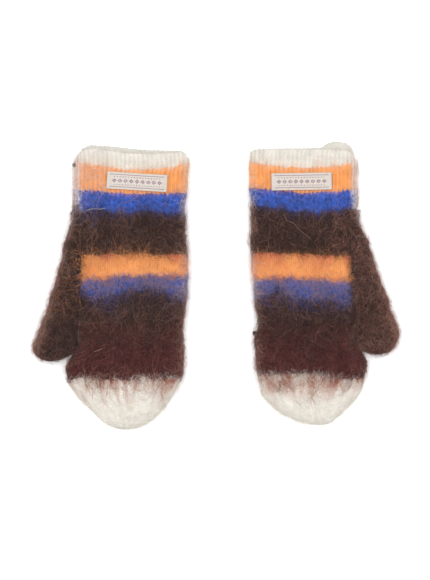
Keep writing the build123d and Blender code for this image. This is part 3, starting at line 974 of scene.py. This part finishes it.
NAP = {
    "cuff_welt": [*all_over(("thin", "cream_yarn", 0.5), ("loose_few", "cream_yarn", 0.5)),
                  ("edge", "cream_yarn", 0.5, "edge"), ("rim", "cream_yarn", 0.4, "rim")],
    "cuff_rib_band": [*all_over(("sparse", "orange_yarn", 0.5), ("loose_few", "orange_yarn", 0.5)),
                      PALE_EDGE, ("rim", "cream_yarn", 0.5, "rim")],
    "wrist_band": [*all_over(("thin", "blue_yarn", 0.5), ("loose_few", "blue_yarn", 0.5),
                             ("loose_few", "lilac", 0.5)), PALE_EDGE, PALE_RIM],
    "palm_brown_band": [*fleece("brown_yarn", 0.5, 0.5), JOIN, ROSE_RIM],
    "palm_orange_band": [*all_over(("thin", "orange_yarn", 0.4), ("loose_few", "orange_yarn", 0.1),
                                   ("loose_few", "brown_yarn", 0.5)), JOIN,
                         ("fringe", "orange_yarn", 0.95, (28, 126, 8, 11)), PALE_RIM],
    "knuckle_blue_band": [("soft", "blue_yarn", 0.6, "all"), ("fog", "lilac", 0.6, "clouds"),
                          *all_over(("thin", "lilac", 0.6), ("foreign", "blue_yarn", 0.7)),
                          ("fringe", "blue_yarn", 0.05, (28, 126, 3, 12)), JOIN, PALE_RIM],
    "finger_brown_band": [*fleece("brown_yarn", 0.55, 0.55), JOIN, ROSE_RIM],
    "finger_fold_band": [*fleece("brown_maroon_yarn", 0.55, 0.55), ROSE_RIM],
    "finger_maroon_band": [*fleece("maroon_yarn", 0.6, 0.75), ROSE_RIM],
    "mitten_tip": [*all_over(("soft", "cream_yarn", 0.55), ("loose_few", "cream_yarn", 0.4)),
                   ("streak", "pink_cream", 1.0, (36, 128, -90, -79)),
                   ("fringe", "cream_yarn", 0.1, (36, 128, -86, -79)), ("rim", "cream_yarn", 0.5, "rim")],
    "thumb_gusset": [*fleece("brown_yarn", 0.5, 0.5), ("haze", "lilac", 0.8, "start"),
                     ("cross", "seam_yarn", 0.8, "start"), ROSE_HALO],
    "thumb": [*fleece("brown_yarn", 0.5, 0.5), ROSE_HALO],
}
TIP_FRINGE = ("streak", "pink_cream", 1.0, (42, 126, -81, -77))
# Tufts that only one mitten has, or that both have over their own nap.
TUFTS = {
    "left": {
        "cuff_rib_band": [("haze", "seam_yarn", 0.5, (98, 129, 88, 114))],
        "wrist_band": [("thin", "lilac", 0.5, (108, 129, 70, 88)),
                       ("cross", "brown_yarn", 0.9, (126, 134, 60, 74)),
                       ("haze", "rose_brown", 0.8, (124, 134, 60, 80))],
        "palm_brown_band": [("foreign_many", "lilac", 0.9, (108, 126, 52, 70)),
                            ("foreign_many", "blue_yarn", 0.9, (108, 126, 60, 72))],
        "palm_orange_band": [("tuft", "orange_yarn", 0.0, (62, 92, 25, 30)),
                             ("tuft", "orange_yarn", 0.3, (112, 124, 9, 28))],
        "thumb_gusset": [("foreign", "orange_yarn", 0.8, "all")],
        "finger_brown_band": [("foreign_many", "blue_yarn", 0.9, (88, 104, -20, -6)),
                              ("foreign", "lilac", 0.8, (84, 112, -26, -4)),
                              ("foreign", "rose_brown", 0.6, "all")],
        "finger_maroon_band": [TIP_FRINGE],
        "mitten_tip": [("tuft", "pink_cream", 1.0, (96, 108, -92, -80)),
                       ("tuft", "pink_cream", 1.0, (68, 76, -88, -80)),
                       ("tuft", "pink_cream", 1.0, (46, 52, -88, -80))],
    },
    "right": {
        "wrist_band": [("haze", "rose_brown", 0.8, (124, 134, 60, 74))],
        "palm_brown_band": [("haze", "rose_brown", 0.5, (106, 124, 32, 66))],
        "palm_orange_band": [("streak", "orange_yarn", 0.1, (94, 114, 24, 30))],
        "knuckle_blue_band": [("haze", "lilac", 0.6, (40, 122, -14, 4))],
        "finger_brown_band": [("foreign_many", "blue_yarn", 0.8, (40, 122, -20, -6))],
        "finger_maroon_band": [TIP_FRINGE],
        "mitten_tip": [("foreign_many", "pink_cream", 1.0, (40, 126, -88, -79)),
                       ("tuft", "pink_cream", 1.0, (56, 68, -92, -80)),
                       ("tuft", "pink_cream", 1.0, (87, 94, -98, -80))],
        "thumb": [("haze", "rose_brown", 0.5, "all")],
        "thumb_gusset": [("haze", "rose_brown", 0.5, "all")],
    },
}


def zone_of(mitten, part, zone):
    """Row and column ranges of a zone on the part's shell."""
    if part in ("thumb", "thumb_gusset"):
        middle, root = THUMB_COLUMNS / 2, mitten.thumb_root
        reach = {"edge": EDGE_COLUMNS, "start": 2 * EDGE_COLUMNS}.get(zone, middle)
        rows = (0, root) if part == "thumb_gusset" else (root, mitten.thumb.rows - 2.0)
        return (0, START_ROWS) if zone == "start" else rows, [(middle - reach, middle + reach)]
    if isinstance(zone, tuple):
        u_from, u_to, y_from, y_to = zone
        rows = tuple(mitten.row_of([y_to, y_from]))
        return rows, [tuple(mitten.column_of(rows[0], [u_to, u_from]))]
    number = BANDS.index(part)
    rows = tuple(mitten.row_of([mitten.levels[number] + OVERLAP, mitten.levels[number + 1] - OVERLAP]))
    near, far = (0, EDGE_COLUMNS), (COLUMNS - EDGE_COLUMNS, COLUMNS)
    little = (COLUMNS / 2 - EDGE_COLUMNS, COLUMNS / 2 + EDGE_COLUMNS)
    beyond = GUSSET_COLUMNS if part in GUSSET_BANDS else 0
    spans = {"edge": [near, far], "junction": [(GUSSET_COLUMNS, GUSSET_COLUMNS + 4)],
             "rim": [little] if beyond or part in RIBBED else [near, little, far]}
    return rows, spans.get(zone, [(beyond, COLUMNS - beyond)])


def between_borders(mitten, part, row, column):
    """Which of these places on the hand lie between the part's own borders, and 1 mm off the mouth."""
    number = BANDS.index(part)
    y = np.interp(row, np.arange(mitten.hand.rows), mitten.row_heights)
    upper = mitten.border(part, column) - (1 if part == "cuff_welt" else 0)
    if part == "mitten_tip":
        return y < upper
    return (y < upper) & (y > mitten.border(BANDS[number + 1], column))


def nap(mitten, part):
    """All fibres that grow from one knitted part, as one piece."""
    shell = mitten.hand if part in BANDS else mitten.thumb
    rng = np.random.default_rng(SEED + mitten.seed * 100 + list(NAP).index(part))
    builder, materials = Builder(), []
    for layer, yarn, downwards, zone in NAP[part] + TUFTS[mitten.side].get(part, []):
        density, length, lift, thick, steps, fan, shades = LAYERS[layer]
        shares = np.cumsum(shades[:len(SHADES[yarn])])
        rows, spans = zone_of(mitten, part, zone)
        for span in spans:
            row, column = roots(shell, rows, span, density, rng)
            if part in BANDS:
                own = between_borders(mitten, part, row, column)
                if zone == "clouds":
                    cloud = grain(column / CLOUD[0], row / CLOUD[1], mitten.seed + 14)
                    own &= cloud + 0.6 * (grain(column, row, 15) - 0.5) > 0.5
                row, column = row[own], column[own]
            count = len(row)
            heading = np.where(rng.uniform(size=count) < downwards, 0.0, math.pi)
            angle = heading + rng.normal(0, fan, count)
            lengths = length * rng.lognormal(0, 0.35, count)
            lifts = np.minimum(lift * rng.gamma(1.6, 0.62, count), MOST_LIFT)
            radius = thick * rng.uniform(0.7, 1.3, count)
            clump = grain(column / CLUMP[0], row / CLUMP[1], mitten.seed + 13) - 0.5
            draw = np.clip(0.5 + 0.55 * (rng.uniform(size=count) - 0.5) + 0.8 * clump, 0, 0.999)
            shade = len(materials) + np.searchsorted(shares / shares[-1], draw)
            strands(builder, shell, row, column, angle, lengths, lifts, radius, steps, shade, rng)
        materials += FIBRE_MATERIALS[yarn]
    piece = builder.piece(f"{mitten.side}_{part}_nap", SIDES[mitten.side], materials)
    finish_piece(piece, mitten, part, BAND_YARN[part])


# ---- threads, seams and the label
def tube(builder, path, radius, tint, sides=8):
    """A closed round thread along a path, as thick at each point as radius says."""
    path = np.asarray(path, float)
    tint = np.broadcast_to(tint, path.shape)
    along = unit(np.gradient(path, axis=0))
    level_way = unit(np.cross(along, np.array([0.05, 0.1, 1.0])))
    up_way = np.cross(level_way, along)
    turn = np.linspace(0, 2 * math.pi, sides + 1)
    radius = np.broadcast_to(radius, len(path))[:, None, None]
    ring = np.cos(turn)[None, :, None] * level_way[:, None] + np.sin(turn)[None, :, None] * up_way[:, None]
    points = path[:, None] + radius * ring
    points[..., 2] = np.maximum(points[..., 2], 0.1)
    weave = np.stack(np.broadcast_arrays(turn[None, :] * 0.8, path_length(path)[:, None] * 2.0, 0.0), -1)
    ids = builder.add(points, tint[:, None], weave)
    ids[:, -1] = ids[:, 0]
    builder.quads(ids, flip=True)
    ends = builder.add(path[[0, -1]], tint[[0, -1]])
    builder.fan(ids[0], ends[0])
    builder.fan(ids[-1], ends[1], flip=True)


def seam_colour(y, mitten):
    """The seam takes up the bands' colours: cream at the cuff, greyer at the blue, brown further on."""
    cuff, wrist, palm, tip = (mitten.levels[k] for k in (0, 2, 3, 9))
    stops = [tip - 8, tip + 2, palm - 12, palm, wrist - 3, wrist + 4, cuff]
    colours = [(244, 238, 228), (92, 54, 50), (98, 70, 60), (150, 124, 118), (222, 206, 202),
               (248, 232, 222), (250, 244, 234)]
    return look_up(y, stops, linear(colours))


def seam(mitten, name, shell, rows, columns, part, radius, *nodes):
    """A lumpy linked seam along the edge of a shell, with a slanting thread over each lump."""
    builder = Builder()
    path = shell.at(rows, columns, 0.15 * radius)
    distance, steps = path_length(path), np.arange(len(path))
    ends = np.clip(np.minimum(distance, distance[-1] - distance) / 8, 0.2, 1)
    wander = 0.6 * waves(distance, 0, 9, mitten.seed)
    lump = 0.62 + 0.38 * np.abs(np.cos(math.pi * distance / SEAM_PITCH + wander))
    tube(builder, path, radius * lump * ends, seam_colour(path[:, 1], mitten), 12)
    turn = np.linspace(-0.35, 1.35, 9)[:, None] * math.pi
    for k in range(1, int(distance[-1] / SEAM_PITCH)):
        at = np.interp(SEAM_PITCH * (k + 0.5) + 1.1 * np.linspace(-1, 1, 9), distance, steps)
        row, column = np.interp(at, steps, rows), np.interp(at, steps, columns)
        outwards = unit(shell.at(row, column, 1.0) - shell.at(row, column))
        around = np.sin(turn) * outwards + np.cos(turn) * np.array([0, 0, 1.0])
        loop = look_up(at, steps, path) + radius * 0.88 * around
        # painted highlight: the slanting threads over the lumps are painted 12% lighter than the seam beneath
        # them
        tube(builder, loop, 0.2 * radius + 0.12, seam_colour(loop[:, 1], mitten) * 1.12, 6)
    piece = builder.piece(f"{mitten.side}_{name}", SIDES[mitten.side], [KNIT_MATERIAL["seam_yarn"]])
    finish_piece(piece, mitten, part, "seam_yarn", *nodes)


def seams(mitten):
    hand, thumb, root, middle = mitten.hand, mitten.thumb, mitten.thumb_root, THUMB_COLUMNS / 2
    start = float(mitten.row_of(MOUTH[mitten.side]["back"][-1][1])) + 2.5
    cuff_end, wrist_end, finger, tip = (float(mitten.row_of(mitten.levels[k])) for k in (2, 3, 8, 9))
    last = hand.rows - 2.0

    def run(first, end, column):
        rows = np.linspace(first, end, max(2, int(abs(end - first) / ROW_STEP)))
        return rows, np.full(len(rows), float(column))

    round_the_tip = [np.concatenate(pair) for pair in zip(run(tip, last, 1), run(last, tip, COLUMNS / 2))]
    for name, shell, line, part, radius, *nodes in (
            ("cuff_seam", hand, run(start, cuff_end, 4), "cuff_rib_band", 1.7, "cuff_side_seam"),
            ("wrist_seam", hand, run(cuff_end, wrist_end, 4), "wrist_band", 1.6),
            ("gusset_edge_seam", thumb, run(0.5, root, middle), "thumb_gusset", 1.0, "gusset_seam"),
            ("thumb_edge_seam", thumb, run(root, thumb.rows - 2, middle), "thumb", 0.9, "thumb_seam"),
            ("finger_edge_seam", hand, run(finger, tip, 1), "finger_maroon_band", 0.9, "finger_side_seam"),
            ("tip_edge_seam", hand, round_the_tip, "mitten_tip", 0.8, "tip_seam")):
        seam(mitten, name, shell, *line, part, radius, *(f"{mitten.side}_{node}" for node in nodes))


class Label:
    """A narrow woven label, laid over the cuff's ribs and sewn down at its two short ends."""

    def __init__(self, mitten):
        self.mitten = mitten
        mesh = frame["nodes"][f"{mitten.side}_woven_label"].data
        plan = np.array([(SIDES[mitten.side] * v.co.x, v.co.y) for v in mesh.vertices]) / MM
        self.centre = (plan.min(0) + plan.max(0)) / 2
        _, directions = np.linalg.eigh(np.cov((plan - self.centre).T))
        self.long_way = directions[:, 1] * np.sign(directions[0, 1])
        self.short_way = np.array([-self.long_way[1], self.long_way[0]])
        self.length = np.ptp(plan @ self.long_way)
        self.width = np.ptp(plan @ self.short_way)

    def place(self, a, b, height):
        """Points on the label, a along it and b across it, that far above the knit's smooth surface."""
        a, b = np.broadcast_arrays(a, b)
        plan = self.centre + a[..., None] * self.long_way + b[..., None] * self.short_way
        hand = self.mitten.hand
        rows = np.rint(self.mitten.row_of(plan[..., 1])).astype(int)
        half = COLUMNS // 2
        z = np.empty(a.shape)
        for row in np.unique(rows):
            here = rows == row
            z[here] = np.interp(-plan[here][:, 0], -hand.points[row, :half, 0], hand.points[row, :half, 2])
        return np.concatenate([plan, (z + height)[..., None]], -1)

    def motif(self, a, b):
        """Where the thread is mauve: diamonds in a row between two thin lines, with dots above and below."""
        def from_middle(pitch):
            return np.abs((a / pitch + 0.5) % 1 - 0.5) * pitch

        ring = np.abs(from_middle(DIAMOND_PITCH) / 1.5 + np.abs(b) / 1.35 - 1)
        diamonds = (ring < 0.34) | (from_middle(DIAMOND_PITCH) + np.abs(b) < 0.35)
        dots = from_middle(DIAMOND_PITCH / 2) + np.abs(np.abs(b) - 3.6) < 0.62
        lines = np.abs(np.abs(b) - 5.6) < 0.22
        inside = np.abs(a) < self.length / 2 - 4.5
        return (inside & (diamonds | dots)) | (lines & (np.abs(a) < self.length / 2 - 2.5))

    def cloth(self):
        side, builder = self.mitten.side, Builder()
        half_length, half_width = self.length / 2, self.width / 2
        a = np.linspace(-half_length, half_length, int(self.length / LABEL_GRID) + 1)[None, :]
        b = np.linspace(half_width, -half_width, int(self.width / LABEL_GRID) + 1)[:, None]
        a, b = np.broadcast_arrays(a, b)
        fold = 0.25 * smooth((np.abs(a) - half_length + 4) / 0.8)
        ripple = 0.12 * waves(a, b, 7, self.mitten.seed + 8)
        top = self.place(a, b, LABEL_GAP + LABEL_THICKNESS + fold + ripple)
        under = self.place(a, b, LABEL_GAP + ripple)
        shade = 1 + 0.05 * (grain(a * 0.7, b * 0.7, 4)[..., None] - 0.5)
        tint = np.where(self.motif(a, b)[..., None], linear(LABEL_MAUVE), linear(LABEL_CREAM)) * shade
        weave = np.stack([a, b, a * 0], -1)
        # painted shade: the label's underside is painted 10% darker than its top
        ids, under_ids = builder.add(top, tint, weave), builder.add(under, tint * 0.9, weave)
        builder.quads(ids, flip=True)
        builder.quads(under_ids)
        for edge, flip in ((np.s_[0], False), (np.s_[-1], True), (np.s_[:, 0], True), (np.s_[:, -1], False)):
            builder.zip(ids[edge], under_ids[edge], flip)
        piece = builder.piece(f"{side}_label_cloth", SIDES[side], [LABEL_WEAVE])
        finish_piece(piece, self.mitten, "cuff_rib_band", "label_weave", f"{side}_woven_label")

    def stitches(self):
        side, builder = self.mitten.side, Builder()
        t = np.linspace(0, 1, 9)
        arch = RIB_DEPTH + 0.7 + LABEL_THICKNESS + 0.25 - 1.5 * smooth((t - 0.45) / 0.4) - 0.5 * (1 - t) ** 4
        for end in (-1, 1):
            a = end * (self.length / 2 - 1.1 + 2.2 * t)
            for b in np.linspace(-self.width / 2 + 1.1, self.width / 2 - 1.1, STITCHES):
                tube(builder, self.place(a, b + 0.35 * (t - 0.5), arch), 0.2, linear(LABEL_THREAD), 6)
        piece = builder.piece(f"{side}_label_threads", SIDES[side], [KNIT_MATERIAL["label_thread"]])
        finish_piece(piece, self.mitten, "cuff_rib_band", "label_thread", f"{side}_label_stitches")


def loose_threads(mitten):
    """Yarn ends that the maker left, and a long stray hair on each mitten."""
    def laid(points, lift):
        """A line through those (u, y) points, that far above the back of the hand."""
        points = np.array(points, float)
        at = np.linspace(0, len(points) - 1, 40)
        low = np.clip(at.astype(int), 0, len(points) - 2)
        t = smooth(at - low)[:, None]
        u, y = (points[low] * (1 - t) + points[low + 1] * t).T
        rows = mitten.row_of(y)
        columns = [mitten.column_of(row, outward) for row, outward in zip(rows, u)]
        return mitten.hand.at(rows, np.array(columns), lift)

    turn = np.linspace(0, 5.2 * math.pi, 60)
    knot = np.stack([1.3 * np.cos(turn) + 0.25 * np.sin(2.3 * turn), 1.5 * np.sin(turn * 1.07),
                     1.0 * np.sin(turn * 0.63)], -1)
    bend = np.linspace(-0.7 * math.pi, 0.9 * math.pi, 40)
    loop = np.stack([0.7 * -np.cos(bend), 1.4 * np.sin(bend), 0.6 * np.cos(bend * 1.3)], -1)
    threads = {
        "left": [("pale_thread",
                  laid([(121, 68), (117.5, 70.2), (112, 71.4), (106, 71), (101.5, 71.8)], 2.1),
                  0.13, (224, 214, 206), "wrist_band", "cream_yarn"),
                 ("pale_hair", laid([(111.8, -59.6), (108, -58.2), (103.3, -56.4)], 2.6),
                  0.12, (206, 176, 166), "finger_maroon_band", "cream_yarn"),
                 ("dark_knot", np.array([130.6, 112.0, EDGE_HEIGHT + 3.4]) + knot,
                  0.38, (112, 98, 110), "cuff_rib_band", "brown_yarn")],
        "right": [("dark_loop", np.array([35.2, -42.6, EDGE_HEIGHT + 2.0]) + loop,
                   0.75, (58, 36, 34), "finger_fold_band", "maroon_yarn"),
                  ("fawn_hair", laid([(62, 66.5), (64.5, 60.4), (70.6, 58.4), (75, 53), (87, 44)], 2.8),
                   0.13, (164, 134, 118), "palm_brown_band", "brown_yarn")],
    }
    for name, path, radius, colour, part, yarn in threads[mitten.side]:
        builder = Builder()
        tube(builder, path, radius, linear(colour), 8)
        piece = builder.piece(f"{mitten.side}_{name}", SIDES[mitten.side], [KNIT_MATERIAL[yarn]])
        finish_piece(piece, mitten, part, yarn)


# ---- stage and camera
LAMPS = (("key", (-0.7, 0.9, 1.9), 1.4, 12), ("fill", (0.9, -0.5, 1.8), 1.8, 7))    # place, size, power
VIEW_HEIGHT = 0.5336        # what the camera sees from top to bottom at the mittens' height, in metres
MIDDLE_HEIGHT = 0.012       # that height


def stage():
    floor_mesh = bpy.data.meshes.new("floor")
    floor_mesh.from_pydata([(-4, -4, 0), (4, -4, 0), (4, 4, 0), (-4, 4, 0)], [], [(0, 1, 2, 3)])
    floor = add_object("floor", floor_mesh)
    pale, shader = new_material("pale_floor", 0.9, 0.0, 0.5)
    set_inputs(pale, shader, {"Base Color": (0.8, 0.8, 0.8, 1), "Emission Color": (1, 1, 1, 1),
                              "Emission Strength": 0.42})
    floor_mesh.materials.append(pale)

    world = bpy.data.worlds.new("studio")
    world.use_nodes = True
    set_inputs(world, world.node_tree.nodes["Background"], {"Color": (1, 1, 1, 1), "Strength": 0.85})
    bpy.context.scene.world = world
    bpy.context.scene.view_settings.view_transform = "Standard"

    for name, place, size, power in LAMPS:
        lamp = bpy.data.lights.new(name, "AREA")
        lamp.size = size
        lamp.energy = power
        light = add_object(name, lamp)
        light.location = place
        light.rotation_euler = (-Vector(place)).to_track_quat("-Z", "Y").to_euler()

    lens = bpy.data.cameras.new("camera")
    lens.lens = 85
    lens.clip_end = 20
    camera = add_object("camera", lens)
    camera.location = (-0.0009, -0.0028, VIEW_HEIGHT * lens.lens / lens.sensor_width + MIDDLE_HEIGHT)
    bpy.context.scene.camera = camera


for side in SIDES:
    mitten = Mitten(side)
    for band in BANDS:
        knit_band(mitten, band)
        nap(mitten, band)
    for part in ("thumb_gusset", "thumb"):
        knit_thumb(mitten, part)
        nap(mitten, part)
    seams(mitten)
    label = Label(mitten)
    label.cloth()
    label.stitches()
    loose_threads(mitten)

stage()
bpy.context.view_layer.update()
